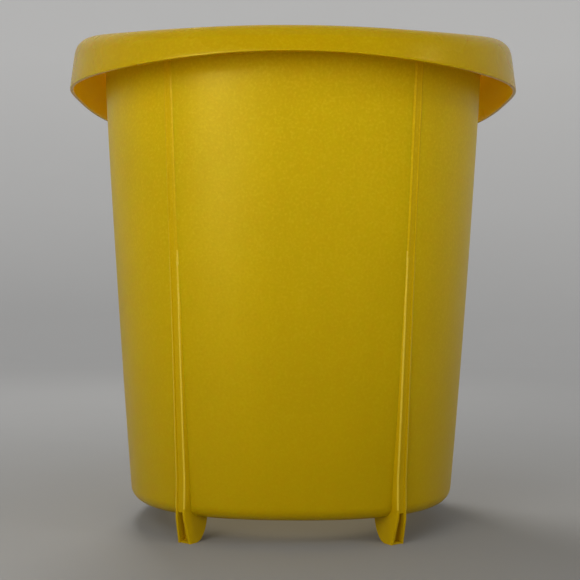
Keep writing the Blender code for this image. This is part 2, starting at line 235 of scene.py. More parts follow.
def mixColour(nodes, links, factor, first, second):
    node = place(nodes, links, "ShaderNodeMix", {"data_type": "RGBA"})
    links.new(factor, node.inputs["Factor"])
    for socket, colour in (("A", first), ("B", second)):
        slotIn = [s for s in node.inputs if s.name == socket and s.type == "RGBA"][0]
        if isinstance(colour, tuple):
            slotIn.default_value = colour
        else:
            links.new(colour, slotIn)
    return [s for s in node.outputs if s.type == "RGBA"][0]


def mathNode(nodes, links, operation, first, second):
    node = place(nodes, links, "ShaderNodeMath", {"operation": operation})
    for i, value in enumerate((first, second)):
        if isinstance(value, (int, float)):
            node.inputs[i].default_value = value
        else:
            links.new(value, node.inputs[i])
    return node.outputs[0]


# in each tone, 'inner' is painted light on faces turned towards the middle
mouldedPlastic = {
    # in each tone, 'low' is painted shade towards the foot
    "tub": {"base": (0.76, 0.505, 0.0, 1), "deep": (0.64, 0.425, 0.0, 1),
            "worn": (0.84, 0.62, 0.02, 1), "low": (0.46, 0.300, 0.0, 1),
            "inner": (0.92, 0.66, 0.01, 1)},
    "rib": {"base": (0.77, 0.490, 0.0, 1), "deep": (0.66, 0.415, 0.0, 1),
            "worn": (0.84, 0.60, 0.02, 1), "low": (0.50, 0.315, 0.0, 1),
            "inner": (0.82, 0.55, 0.01, 1)},
    # painted shade: the lid's tones are darker than the tub's, for a band that gets less light than the
    # tub
    "lid": {"base": (0.57, 0.380, 0.0, 1), "deep": (0.51, 0.335, 0.0, 1),
            "worn": (0.64, 0.46, 0.01, 1), "low": (0.46, 0.300, 0.0, 1),
            "inner": (0.92, 0.66, 0.01, 1)},
    "flap": {"base": (0.75, 0.495, 0.0, 1), "deep": (0.69, 0.445, 0.0, 1),
             "worn": (0.80, 0.57, 0.01, 1), "low": (0.46, 0.300, 0.0, 1),
             "inner": (0.92, 0.66, 0.01, 1)},
    # painted highlight: the pale, glossy colour on the ribs' edges stands in for their highlights
    "edge": {"base": (0.90, 0.645, 0.06, 1), "deep": (0.82, 0.550, 0.01, 1),
             "worn": (0.94, 0.76, 0.20, 1), "low": (0.74, 0.530, 0.04, 1),
             "inner": (0.88, 0.64, 0.05, 1)},
    "roughness": {"tub": (0.36, 0.50), "rib": (0.30, 0.42), "lid": (0.24, 0.36),
                  "flap": (0.30, 0.44), "edge": (0.18, 0.28)},
    # light that travels inside the thin plastic
    "glow": {"tub": 0.45, "rib": 0.06, "lid": 0.45, "flap": 0.45, "edge": 0.06},
    "paintedSkirtGlow": 0.07,     # painted light: a weak emission glow inside the skirt, standing in for light through thin plastic
    "paintedFootShade": 0.8,         # painted shade: how far the colour darkens towards the foot
    "glowReach": (0.0070, 0.0032, 0.0002),
    "grainSize": 800,         # moulded grain, in repeats per metre
    "grainDepth": 0.00010,
}


def yellowPlastic(name, part):
    tone = mouldedPlastic[part]
    material, nodes, links, shader = newMaterial(name)
    coords = place(nodes, links, "ShaderNodeTexCoord").outputs["Object"]
    cloudy = noise(nodes, links, coords, 9, 4, 0.6)
    flow = noise(nodes, links, coords, 30, 3, 0.55, (1, 1, 0.12))
    speck = noise(nodes, links, coords, 650, 2, 0.6)
    scuff = noise(nodes, links, coords, 120, 6, 0.75, (1, 1, 0.35))
    blend = remap(nodes, links, cloudy, 0.35, 0.68, 0.0, 0.75)
    flowBlend = remap(nodes, links, flow, 0.42, 0.62, 0.0, 0.35)
    colour = mixColour(nodes, links, blend, tone["base"], tone["deep"])
    colour = mixColour(nodes, links, flowBlend, colour, tone["deep"])
    speckBlend = remap(nodes, links, speck, 0.50, 0.72, 0.0, 0.40)
    colour = mixColour(nodes, links, speckBlend, colour, tone["worn"])
    pitBlend = remap(nodes, links, speck, 0.48, 0.30, 0.0, 0.45)
    colour = mixColour(nodes, links, pitBlend, colour, tone["deep"])
    scuffBlend = remap(nodes, links, scuff, 0.66, 0.80, 0.0, 0.25)
    colour = mixColour(nodes, links, scuffBlend, colour, tone["worn"])
    # painted light: faces that look towards the middle are painted paler, for light coming through the
    # thin plastic
    flatCoords = vectorMath(nodes, links, "MULTIPLY", "Vector", {0: coords}, {1: (1, 1, 0)})
    outwards = vectorMath(nodes, links, "NORMALIZE", "Vector", {0: flatCoords})
    facing = place(nodes, links, "ShaderNodeTexCoord").outputs["Normal"]
    turned = vectorMath(nodes, links, "DOT_PRODUCT", "Value", {0: facing, 1: outwards})
    paintedInnerLight = remap(nodes, links, turned, -0.15, -0.6, 0.0, 1.0)
    colour = mixColour(nodes, links, paintedInnerLight, colour, tone["inner"])
    # painted shade: the colour darkens towards the foot, for light that falls off downwards
    height = place(nodes, links, "ShaderNodeSeparateXYZ", feeds={"Vector": coords}).outputs["Z"]
    paintedShadeBlend = remap(nodes, links, height, 0.24, 0.02, 0.0, mouldedPlastic["paintedFootShade"])
    colour = mixColour(nodes, links, paintedShadeBlend, colour, tone["low"])
    links.new(colour, shader.inputs["Base Color"])
    # painted light: the lid's inner faces glow with a weak emission
    if part == "lid":
        through = mathNode(nodes, links, "MULTIPLY", paintedInnerLight, mouldedPlastic["paintedSkirtGlow"])
        links.new(through, shader.inputs["Emission Strength"])
        shader.inputs["Emission Color"].default_value = (1.0, 0.50, 0.0, 1)
    low, high = mouldedPlastic["roughness"][part]
    dullness = mathNode(nodes, links, "ADD", cloudy, scuffBlend)
    rough = remap(nodes, links, dullness, 0.35, 0.95, low, high)
    links.new(rough, shader.inputs["Roughness"])
    shader.inputs["Subsurface Weight"].default_value = mouldedPlastic["glow"][part]
    shader.inputs["Subsurface Radius"].default_value = mouldedPlastic["glowReach"]
    shader.inputs["Subsurface Scale"].default_value = 1.0
    shader.inputs["IOR"].default_value = 1.42
    shader.inputs["Specular IOR Level"].default_value = 0.30
    shader.inputs["Specular Tint"].default_value = (1.0, 0.86, 0.20, 1)
    grain = noise(nodes, links, coords, mouldedPlastic["grainSize"], 3, 0.6)
    ripple = noise(nodes, links, coords, 45, 2, 0.5, (1, 1, 0.4))
    fine = place(nodes, links, "ShaderNodeBump",
                 sockets={"Strength": 1.0, "Distance": mouldedPlastic["grainDepth"]},
                 feeds={"Height": grain})
    wide = place(nodes, links, "ShaderNodeBump", sockets={"Strength": 0.35, "Distance": 0.0006},
                 feeds={"Height": ripple, "Normal": fine.outputs["Normal"]})
    links.new(wide.outputs["Normal"], shader.inputs["Normal"])
    return material


def bumpInto(nodes, links, shader, height, strength, depth):
    bump = place(nodes, links, "ShaderNodeBump", sockets={"Strength": strength, "Distance": depth},
                 feeds={"Height": height})
    links.new(bump.outputs["Normal"], shader.inputs["Normal"])


def brushedSteel():
    material, nodes, links, shader = newMaterial("turnedSteel")
    coords = place(nodes, links, "ShaderNodeTexCoord").outputs["Object"]
    lines = noise(nodes, links, coords, 900, 3, 0.6, (2.5, 0.4, 0.4))
    stain = noise(nodes, links, coords, 140, 3, 0.6)
    colour = mixColour(nodes, links, stain, (0.66, 0.66, 0.67, 1), (0.48, 0.48, 0.49, 1))
    links.new(colour, shader.inputs["Base Color"])
    links.new(remap(nodes, links, lines, 0.3, 0.7, 0.22, 0.40), shader.inputs["Roughness"])
    shader.inputs["Metallic"].default_value = 1.0
    bumpInto(nodes, links, shader, lines, 0.3, 0.00002)
    return material


def softRubber(name, dark, light, depth):
    material, nodes, links, shader = newMaterial(name)
    coords = place(nodes, links, "ShaderNodeTexCoord").outputs["Object"]
    dust = noise(nodes, links, coords, 260, 4, 0.65)
    grain = noise(nodes, links, coords, 2200, 2, 0.5)
    dustBlend = remap(nodes, links, dust, 0.45, 0.75, 0, 1)
    links.new(mixColour(nodes, links, dustBlend, dark, light), shader.inputs["Base Color"])
    links.new(remap(nodes, links, dust, 0.3, 0.7, 0.62, 0.85), shader.inputs["Roughness"])
    bumpInto(nodes, links, shader, grain, 0.6, depth)
    return material


def whiteNylon():
    material, nodes, links, shader = newMaterial("naturalNylon")
    coords = place(nodes, links, "ShaderNodeTexCoord").outputs["Object"]
    haze = noise(nodes, links, coords, 300, 3, 0.6)
    colour = mixColour(nodes, links, haze, (0.80, 0.78, 0.72, 1), (0.68, 0.66, 0.59, 1))
    links.new(colour, shader.inputs["Base Color"])
    links.new(remap(nodes, links, haze, 0.3, 0.7, 0.38, 0.52), shader.inputs["Roughness"])
    shader.inputs["Subsurface Weight"].default_value = 0.15
    shader.inputs["Subsurface Radius"].default_value = (0.002, 0.002, 0.0015)
    shader.inputs["Subsurface Scale"].default_value = 1.0
    bumpInto(nodes, links, shader, haze, 0.3, 0.00003)
    return material


tubYellow = yellowPlastic("tubYellow", "tub")
ribYellow = yellowPlastic("ribYellow", "rib")
lidYellow = yellowPlastic("lidYellow", "lid")
flapYellow = yellowPlastic("flapYellow", "flap")
paintedHighlightYellow = yellowPlastic("paintedHighlightYellow", "edge")
turnedSteel = brushedSteel()
naturalNylon = whiteNylon()
bufferRubber = softRubber("bufferRubber", (0.018, 0.018, 0.019, 1),
                          (0.055, 0.054, 0.052, 1), 0.00006)
sealRubber = softRubber("sealRubber", (0.14, 0.14, 0.14, 1), (0.22, 0.22, 0.21, 1), 0.00010)
print("materials made")

# the tapered tub
tubForm = {
    "underside": 0.0142,      # height of the tub's underside over the floor
    "footHalfWidth": 0.1004,
    "taper": 0.0704,          # growth in half width for each unit of height
    "bow": 0.0009,            # the wall swells this much halfway up
    "bowMiddle": 0.140,
    "bowReach": 0.120,
    "wall": 0.0022,
    "heel": 0.0085,           # rounding where wall meets underside
    "rimTop": 0.2850,
    "rimHalfWidth": tubBox[1].x,
    "rimLipDrop": 0.0056,
    "wallLevels": 44,
    "wander": 0.00014,        # the wall is never quite true
}


def wallHalfWidth(height):
    swelling = tubForm["bow"] * (1 - ((height - tubForm["bowMiddle"]) / tubForm["bowReach"]) ** 2)
    return tubForm["footHalfWidth"] + tubForm["taper"] * (height - tubForm["underside"]) + swelling


def wallWander(angle, height):
    slow = math.sin(2 * angle + 9 * height) + 0.7 * math.sin(5 * angle - 21 * height + 1.3)
    quick = 0.35 * math.sin(11 * angle + 37 * height + 0.6)
    quick += 0.25 * math.sin(17 * angle - 13 * height)
    return tubForm["wander"] * (slow + quick) * ease(height, 0.02, 0.08)


def tubOutline():
    heelZ = tubForm["underside"] + tubForm["heel"]
    heelA = wallHalfWidth(heelZ) - tubForm["heel"]
    wall = tubForm["wall"]
    top = tubForm["rimTop"]
    rim = tubForm["rimHalfWidth"]
    flange = top - 0.0020
    count = tubForm["wallLevels"]
    levels = [heelZ + (flange - heelZ) * (i + 1) / (count + 1) for i in range(count)]
    base = tubForm["underside"]
    lip = top - tubForm["rimLipDrop"]
    outline = [(0.0, base + wall), (0.030, base + wall), (0.060, base + wall)]
    outline += arc(heelA, heelZ, tubForm["heel"] - wall, -90, 0, 10)
    outline += [(wallHalfWidth(z) - wall, z) for z in levels]
    corners = [(wallHalfWidth(top) - wall, top, 1.6), (rim, top, 1), (rim, lip, 0.5)]
    corners += [(rim - 0.0018, lip, 0.5), (rim - 0.0018, flange, 1.2)]
    corners += [(wallHalfWidth(flange), flange, 2.4)]
    ends = [outline[-1]] + corners + [(wallHalfWidth(levels[-1]), levels[-1])]
    outline += softenCorners(ends, 0.0010)[1:-1]
    outline += [(wallHalfWidth(z), z) for z in reversed(levels)]
    outline += arc(heelA, heelZ, tubForm["heel"], 0, -90, 14)
    # the underside is a little hollow inside its ring, with the moulding mark in the middle
    outline += [(0.078, base), (0.0765, base + 0.0005), (0.0740, base + 0.0006)]
    outline += [(0.050, base + 0.0006), (0.0120, base + 0.0006)]
    outline += [(0.0105, base + 0.0003), (0.0040, base + 0.0003)]
    outline += [(0.0025, base - 0.0002), (0.0, base - 0.0003)]
    return outline


def tubHeight(halfWidth, height, angle):
    return height + share(height, rimForm["crownFade"], rimForm["crownStart"]) * crownWave(angle)


tub = makePiece("tubShell", "base", tubYellow,
                roundTheBin("tubShell", tubOutline(), False, tubHeight, wallWander))
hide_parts("tub")
print("tub made,", len(tub.data.polygons), "faces")

ribForm = {
    "angle": math.radians(34.2),
    "top": 0.2765,
    # how far the rib stands out from the wall, by height
    "standsOut": [(0.0367, 0.0031), (0.0600, 0.0026), (0.0850, 0.0019), (0.1100, 0.0013),
                  (0.1400, 0.0008), (0.1800, 0.0005), (0.2200, 0.0004), (0.2770, 0.0004)],
    "halfWidth": [(0.0, 0.0046), (0.0180, 0.0034), (0.2770, 0.0024)],
    "front": [(0.0, 0.1068), (0.0142, 0.1104), (0.0200, 0.1108)],
    "toe": [(0.0, 0.1010), (0.0003, 0.0996), (0.0008, 0.0983), (0.0017, 0.0968), (0.0030, 0.0955),
            (0.0045, 0.0943), (0.0062, 0.0932), (0.0080, 0.0923),
            (0.0100, 0.0915), (0.0120, 0.0909), (0.0160, 0.0903)],
    "channel": [(0.0, 0.0029), (0.0180, 0.0017), (0.2770, 0.0013)],
    "channelTop": 0.0180,
    "channelFloor": [(0.0012, 0.1022), (0.0180, 0.1060)],
    "pocketTop": 0.0126,
    "pocketFloor": [(0.0012, 0.1000), (0.0126, 0.1030)],
    "sole": 0.0012,
    "knee": (0.0200, 0.0367),     # the foot's front leans over into the rib between these
    "edge": 0.0007,
    "highlightHeights": (0.0200, 0.1650),   # heights between which the edges are painted pale and glossy as highlights
    "highlightWidth": [(0.0200, 0.0006), (0.0500, 0.0008), (0.1200, 0.0007), (0.1650, 0.0002)],
}


def ribFront(z):
    low, high = ribForm["knee"]
    if z < low:
        return along(ribForm["front"], z)
    stretch = planStretch(ribForm["angle"])
    onWall = wallHalfWidth(max(z, high)) * stretch + along(ribForm["standsOut"], z)
    if z < high:
        atKnee = ribForm["front"][-1][1]
        return atKnee + (onWall - atKnee) * share(z, low, high)
    return onWall


def ribBack(z):
    # inside the tub's wall where there is one, the toe of the foot below it
    heelZ = tubForm["underside"] + tubForm["heel"]
    if z <= tubForm["underside"] + tubForm["wall"] / 2:
        return along(ribForm["toe"], z)
    stretch = planStretch(ribForm["angle"])
    middle = tubForm["heel"] - tubForm["wall"] / 2
    if z < heelZ:
        heelA = wallHalfWidth(heelZ) - tubForm["heel"]
        return (heelA + math.sqrt(max(middle ** 2 - (heelZ - z) ** 2, 0))) * stretch
    return (wallHalfWidth(z) - tubForm["wall"] / 2) * stretch


def ribSection(z):
    front = ribFront(z)
    back = ribBack(z)
    wide = along(ribForm["halfWidth"], z)
    edge = min(ribForm["edge"], 0.6 * along(ribForm["standsOut"], z), 0.0002 + z)
    slot = along(ribForm["channel"], z)
    top = ribForm["channelTop"]
    floor = front - 0.00010 - 0.00045 * ease(z, 0.30, top)
    if ribForm["sole"] < z < top:
        floor = along(ribForm["channelFloor"], z)
    lip = min(0.0004, (front - floor) * 0.5)
    pocket = back + 0.00001
    if ribForm["sole"] < z < ribForm["pocketTop"]:
        pocket = along(ribForm["pocketFloor"], z)
    flare = 0.0006 * ease(z, 0.016, 0.030)
    wallAt = min(wallHalfWidth(z) * planStretch(ribForm["angle"]), front - 0.0003)
    if z < 0.030:
        wallAt = back + (front - back) * 0.6
    side = [(slot, pocket), (slot, back), (wide + flare, back), (wide + flare, wallAt - 0.0002)]
    side += [(wide + flare * 0.3, wallAt + 0.2 * (front - wallAt)), (wide, front - edge)]
    side += [(wide - 0.3 * edge, front - 0.3 * edge), (wide - edge, front)]
    side += [(slot + lip, front), (slot + 0.3 * lip, front - 0.3 * lip)]
    side += [(slot, front - lip), (slot, floor)]
    return side + [(-t, r) for t, r in reversed(side)]


def ribMesh(name, angle):
    levels = [ribForm["top"] - 0.004 * i for i in range(60)]
    # close rows where the foot bends, and a pair at the ledges of channel, pocket and sole
    levels += [0.0367, 0.0340, 0.0310, 0.0290, 0.0265, 0.0240, 0.0227, 0.0210, 0.0200, 0.0190, 0.0184]
    levels += [0.01801, 0.01799, 0.0172, 0.0165, 0.0158, 0.0154, 0.01531, 0.0150, 0.0142, 0.0134, 0.01261]
    levels += [0.01259, 0.0120, 0.0110, 0.0100, 0.0090, 0.0080, 0.0070, 0.0062, 0.0054, 0.0045, 0.0037]
    levels += [0.0030, 0.0023, 0.0017, 0.00121, 0.00119, 0.0008, 0.0005, 0.0003, 0.0001, 0.0]
    outward = Vector((math.sin(angle), -math.cos(angle), 0))
    across = Vector((math.cos(angle), math.sin(angle), 0))
    rows = []
    for z in levels:
        rows.append([outward * r + across * t + Vector((0, 0, z)) for t, r in ribSection(z)])
    mesh = skinRows(name, rows, False, 30)
    return closeEnds(mesh)


def paintHighlightEdges(rib, angle):
    outward = Vector((math.sin(angle), -math.cos(angle), 0))
    across = Vector((math.cos(angle), math.sin(angle), 0))
    low, high = ribForm["highlightHeights"]
    # painted highlight: faces at the rib's front edges take the pale, glossy colour that stands in for
    # highlights
    rib.data.materials.append(paintedHighlightYellow)
    for face in rib.data.polygons:
        middle = face.center
        if low < middle.z < high and middle.dot(outward) > ribFront(middle.z) - ribForm["edge"]:
            atEdge = along(ribForm["halfWidth"], middle.z) - along(ribForm["highlightWidth"], middle.z)
            face.material_index = int(abs(middle.dot(across)) > atEdge)


ribAngles = {
    "frontRight": ribForm["angle"],
    "frontLeft": -ribForm["angle"],
    "backRight": math.pi - ribForm["angle"],
    "backLeft": math.pi + ribForm["angle"],
}
for corner, angle in ribAngles.items():
    mesh = ribMesh("ribAndFoot_" + corner, angle)
    rib = makePiece("ribAndFoot_" + corner, "base", ribYellow, mesh)
    paintHighlightEdges(rib, angle)
print("ribs and feet made")

# the rim band, crown and throat of the lid
lidForm = {
    "skirtEdge": 0.2639,
    "skirtHalfWidth": lidBox[1].x,
    "lean": 0.170,
    "crown": 0.2891,
    "crownRadius": 0.0130,
    "throat": 0.1065,
    "wall": 0.0022,
}


def lidHeight(halfWidth, height, angle):
    crown = share(height, lidForm["skirtEdge"], rimForm["crownStart"])
    return height + crown * crownWave(angle) + (1 - crown) * skirtWave(angle)


def lidOutline():
    centreZ = lidForm["crown"] - lidForm["crownRadius"]
    lean = math.atan(lidForm["lean"])
    cornerZ = centreZ + lidForm["crownRadius"] * math.sin(lean)
    cornerA = lidForm["skirtHalfWidth"] - lidForm["lean"] * (cornerZ - lidForm["skirtEdge"])
    centreA = cornerA - lidForm["crownRadius"] * math.cos(lean)
    edge = lidForm["skirtEdge"]
    reach = lidForm["skirtHalfWidth"]
    throat = lidForm["throat"]
    wall = lidForm["wall"]
    leanDegrees = math.degrees(lean)
    outline = arc(centreA, centreZ, lidForm["crownRadius"], 90, leanDegrees, 16)
    rise = cornerZ - edge
    skirt = [(reach - lidForm["lean"] * rise * t, edge + rise * t) for t in (0.75, 0.5, 0.25)]
    outline += skirt
    corners = [skirt[-1], (reach, edge, 1), (reach - wall, edge, 1)]
    corners.append((skirt[-1][0] - wall, skirt[-1][1]))
    outline += softenCorners(corners, 0.0006)[1:-1]
    outline += [(a - wall, z) for a, z in reversed(skirt)]
    outline += arc(centreA, centreZ, lidForm["crownRadius"] - wall, leanDegrees, 90, 10)
    crownStart = rimForm["crownStart"]
    top = lidForm["crown"] + 0.0012
    under = lidForm["crown"] - wall
    low = lidForm["crown"] - 0.0097
    spigot = lidForm["crown"] - 0.0267
    inside = [(0.1210, under), (0.1157, under, 1.5), (0.1153, crownStart), (0.1143, spigot, 0.8)]
    inside += [(0.1123, spigot, 0.8), (0.1131, crownStart), (0.1135, under + 0.0007, 1.5)]
    inside += [(throat + 0.0020, under + 0.0009, 1.5), (throat + 0.0020, crownStart)]
    inside += [(throat + 0.0020, low, 0.7), (throat, low, 0.7), (throat, crownStart)]
    inside += [(throat, top, 1.6), (0.1180, top - 0.0003)]
    outline += softenCorners(inside, 0.0010)
    return outline


lidFrame = makePiece("lidFrame", "lid", lidYellow,
                     roundTheBin("lidFrame", lidOutline(), True, lidHeight))
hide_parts("lid_frame")
print("lid frame made,", len(lidFrame.data.polygons), "faces")


def platePiece(name, bodyName, material, outline, holes, middleX, thick, bevel):
    # a flat plate with holes, drawn in the plane across the hinge
    curve = bpy.data.curves.new(name, "CURVE")
    curve.dimensions = "2D"
    curve.fill_mode = "BOTH"
    curve.extrude = thick / 2 - bevel
    curve.bevel_depth = bevel
    curve.bevel_resolution = 2
    curve.offset = -bevel
    rings = [outline]
    for y, z, radius in holes:
        turns = [math.tau * i / 32 for i in range(32)]
        rings.append([(y + radius * math.cos(t), z + radius * math.sin(t)) for t in turns])
    for ring in rings:
        spline = curve.splines.new("POLY")
        spline.points.add(len(ring) - 1)
        for point, (y, z) in zip(spline.points, ring):
            point.co = (y, z, 0, 1)
        spline.use_cyclic_u = True
    flat = addObject(name, curve)
    bpy.context.view_layer.update()
    evaluated = flat.evaluated_get(bpy.context.evaluated_depsgraph_get())
    mesh = bpy.data.meshes.new_from_object(evaluated)
    bpy.data.objects.remove(flat)
    work = bmesh.new()
    work.from_mesh(mesh)
    bmesh.ops.remove_doubles(work, verts=work.verts, dist=0.000002)
    work.to_mesh(mesh)
    work.free()
    upright = Matrix.Rotation(math.pi / 2, 4, "Z") @ Matrix.Rotation(math.pi / 2, 4, "X")
    mesh.transform(Matrix.Translation((middleX, 0, 0)) @ upright)
    mesh.shade_smooth()
    mesh.set_sharp_from_angle(angle=math.radians(35))
    return makePiece(name, bodyName, material, mesh)


hingeForm = {
    "lugX": 0.1082,
    "lugThick": 0.0028,
    "cheekX": 0.0980,
    "cheekThick": 0.0030,
    "barDrop": 0.0200,
    "stopAngle": math.radians(65),
    "stopHead": 0.0036,
    "buffer": 0.0032,
}


def bufferPlace(front):
    drop = hingeForm["barDrop"]
    angle = hingeForm["stopAngle"] + math.asin(hingeForm["stopHead"] / drop)
    angle += math.asin(hingeForm["buffer"] / drop) + math.radians(0.5)
    return front * drop * math.sin(angle), hingeHeight - drop * math.cos(angle)


lugOutline = [(-0.0260, 0.0164), (-0.0260, -0.0040), (-0.0250, -0.0056)]
lugOutline += [(-0.0135, -0.0109), (-0.0110, -0.0114)]
lugOutline = [(y, hingeHeight + z) for y, z in lugOutline]
lugOutline += [(-y, z) for y, z in reversed(lugOutline)]
for side, label in ((-1, "left"), (1, "right")):
    holes = [(0.0, hingeHeight, 0.0049)] + [bufferPlace(front) + (0.0018,) for front in (-1, 1)]
    platePiece("hingeLug_" + label, "lid", lidYellow, lugOutline, holes,
               side * hingeForm["lugX"], hingeForm["lugThick"], 0.0003)

# the domed flap that closes the throat
flapForm = {
    "halfWidth": flapBox[1].x,
    "centre": flapBox[1].z,
    "edge": 0.2895,
    "lipDrop": 0.0080,
    "wall": 0.0020,
    "step": 0.0010,           # the middle field stands a little lower than the border
    "stepAt": 0.0900,
}


def flapHeight(halfWidth, depth, angle):
    edge = flapForm["edge"] + crownWave(angle)
    reach = (halfWidth / flapForm["halfWidth"]) ** 2
    return flapForm["centre"] + (edge - flapForm["centre"]) * reach + depth


def flapOutline():
    reach = flapForm["halfWidth"]
    wall = flapForm["wall"]
    lip = flapForm["lipDrop"]
    at = flapForm["stepAt"]
    step = flapForm["step"]
    top = [(0.0, -step)] + [(0.010 * i, -step) for i in range(1, 9)]
    top += [(at - 0.0024, -step), (at - 0.0012, -step * 0.85), (at, -step * 0.5)]
    top += [(at + 0.0012, -step * 0.15), (at + 0.0024, 0.0)]
    border = [(at + 0.006, 0.0), (reach, 0.0, 2.2), (reach, -0.0030), (reach, -lip, 0.6)]
    border += [(reach - 0.0018, -lip, 0.6), (reach - 0.0018, -wall - 0.0010, 1.0)]
    border.append((at + 0.006, -wall - 0.0005))
    top += softenCorners(border, 0.0010)
    under = [(0.010 * i, -wall - step) for i in range(8, 0, -1)]
    return top + under + [(0.0, -wall - step)]


flap = makePiece("flapPanel", "flap", flapYellow,
                 roundTheBin("flapPanel", flapOutline(), False, flapHeight))
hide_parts("swing_flap")


def flapUnderside(x, y):
    angle = math.atan2(x, -y)
    halfWidth = math.hypot(x, y) / planStretch(angle)
    return flapHeight(halfWidth, -flapForm["wall"], angle)


def stiffenerMesh(name, y, depth, thick, halfLength):
    # a thin rib under the flap that follows its curve
    rows = []
    count = 48
    for i in range(count + 1):
        x = halfLength * (2 * i / count - 1)
        top = flapUnderside(x, y)
        low = top - depth * min(1, (halfLength - abs(x)) / 0.012 + 0.15)
        half = thick / 2
        rows.append([Vector((x, y - half, top + 0.0001)), Vector((x, y + half, top + 0.0001)),
                     Vector((x, y + half * 0.8, low + 0.0003)), Vector((x, y + half * 0.4, low)),
                     Vector((x, y - half * 0.4, low)), Vector((x, y - half * 0.8, low + 0.0003))])
    mesh = skinRows(name, rows, False, 40)
    return closeEnds(mesh)


stiffenerForm = {
    "depth": 0.0055,
    "thick": 0.0016,
    "placeAndHalfLength": [(-0.066, 0.072), (-0.034, 0.088), (0.034, 0.088), (0.066, 0.072)],
}
for number, (y, halfLength) in enumerate(stiffenerForm["placeAndHalfLength"], start=1):
    name = "flapStiffener" + str(number)
    mesh = stiffenerMesh(name, y, stiffenerForm["depth"], stiffenerForm["thick"], halfLength)
    makePiece(name, "flap", flapYellow, mesh)

cheekTop, cheekNeck = hingeHeight + 0.0166, hingeHeight + 0.0072
cheekOutline = [(0.0130, cheekTop), (-0.0130, cheekTop)]
cheekOutline += [(-0.0105, cheekNeck), (-0.0090, hingeHeight)]
cheekOutline += arc(0.0, hingeHeight - hingeForm["barDrop"], 0.0070, 180, 360, 17)
cheekOutline += [(0.0090, hingeHeight), (0.0105, cheekNeck)]
for side, label in ((-1, "left"), (1, "right")):
    holes = [(0.0, hingeHeight, 0.0033), (0.0, hingeHeight - hingeForm["barDrop"], 0.0023)]
    platePiece("flapCheek_" + label, "flap", flapYellow, cheekOutline, holes,
               side * hingeForm["cheekX"], hingeForm["cheekThick"], 0.0003)
print("flap made")

# hinge fittings, turned about the hinge axis


def turnedFitting(name, bodyName, material, outline, closed, side, y, z, stands):
    steps = 48
    turns = [math.tau * i / steps for i in range(steps)]
    rows = []
    for radius, distance in outline:
        x = side * distance
        if radius < 1e-6:
            rows.append([Vector((x, y, z))])
        else:
            rows.append([Vector((x, y + radius * math.cos(t), z + radius * math.sin(t)))
                         for t in turns])
    piece = makePiece(name, bodyName, material, skinRows(name, rows, closed, 32))
    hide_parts(stands)
    return piece


pinHead = hingeForm["cheekX"] - hingeForm["cheekThick"] / 2 - 0.0003 - 0.0020
# outlines of (radius, distance from the bin's axis)
pinOutline = [(0.0, 0.1116), (0.0024, 0.1116), (0.0029, 0.1113), (0.0030, 0.1110)]
pinOutline += [(0.0025, 0.1110), (0.0025, 0.1101), (0.0030, 0.1101), (0.0030, pinHead + 0.0020)]
pinOutline += [(0.0050, pinHead + 0.0020), (0.0052, pinHead + 0.0018)]
pinOutline += [(0.0052, pinHead + 0.0006), (0.0048, pinHead + 0.0001), (0.0044, pinHead)]
pinOutline += [(0.0018, pinHead), (0.0015, pinHead + 0.0004), (0.0, pinHead + 0.0005)]
bushOutline = [(0.0058, 0.1055), (0.0034, 0.1055), (0.0031, 0.1058), (0.0031, 0.1097)]
bushOutline += [(0.0033, 0.1099), (0.0043, 0.1099), (0.0046, 0.1096), (0.0046, 0.1065)]
bushOutline += [(0.0058, 0.1065), (0.0060, 0.1063), (0.0060, 0.1057)]
seat = hingeForm["cheekX"] + hingeForm["cheekThick"] / 2 + 0.0003
screwOutline = [(0.0, 0.1036), (0.0018, 0.1036), (0.0018, 0.1057), (0.0020, 0.1058)]
screwOutline += [(0.0030, 0.1058), (0.0034, 0.1056), (0.0036, 0.1052), (0.0036, 0.1016)]
screwOutline += [(0.0034, 0.1014), (0.0036, 0.1012), (0.0036, seat), (0.0020, seat)]
screwOutline += [(0.0020 - 0.0002 * (i % 2), 0.0970 - 0.00035 * i) for i in range(28)]
screwOutline += [(0.0012, 0.0860), (0.0, 0.0860)]
bufferOutline = [(0.0, 0.1108), (0.0015, 0.1108), (0.0022, 0.1101), (0.0022, 0.1099)]
bufferOutline += [(0.0015, 0.1099), (0.0015, 0.1065), (0.0030, 0.1065), (0.0032, 0.1063)]
bufferOutline += [(0.0032, 0.1056), (0.0030, 0.1054), (0.0030, 0.1052), (0.0032, 0.1050)]
bufferOutline += [(0.0032, 0.1046), (0.0029, 0.1042), (0.0024, 0.1040), (0.0, 0.1040)]
barZ = hingeHeight - hingeForm["barDrop"]


clipForm = {
    "x": 0.1105,
    "halfThick": 0.00028,
    "innerRadius": 0.0029,
    "outerRadius": 0.0054,
}


def clipMesh(name, side):
    # a flat spring clip with a mouth and three inward lobes
    x = side * clipForm["x"]
    half = clipForm["halfThick"]
    outer = clipForm["outerRadius"]
    ring = []
    for i in range(60):
        angle = math.radians(-60 + 300 * i / 59)
        lobe = 0.5 - 0.5 * math.cos(3 * (angle + math.radians(60)) * 1.2)
        inner = clipForm["innerRadius"] + 0.0006 * lobe
        ring.append((angle, min(inner, 0.0036)))
    rows = []
    for angle, inner in ring:
        y, z = math.sin(angle), -math.cos(angle)
        corners = ((-half, inner), (-half, outer), (half, outer), (half, inner))
        rows.append([Vector((x + dx, y * reach, hingeHeight + z * reach)) for dx, reach in corners])
    mesh = skinRows(name, rows, False, 40)
    return closeEnds(mesh)


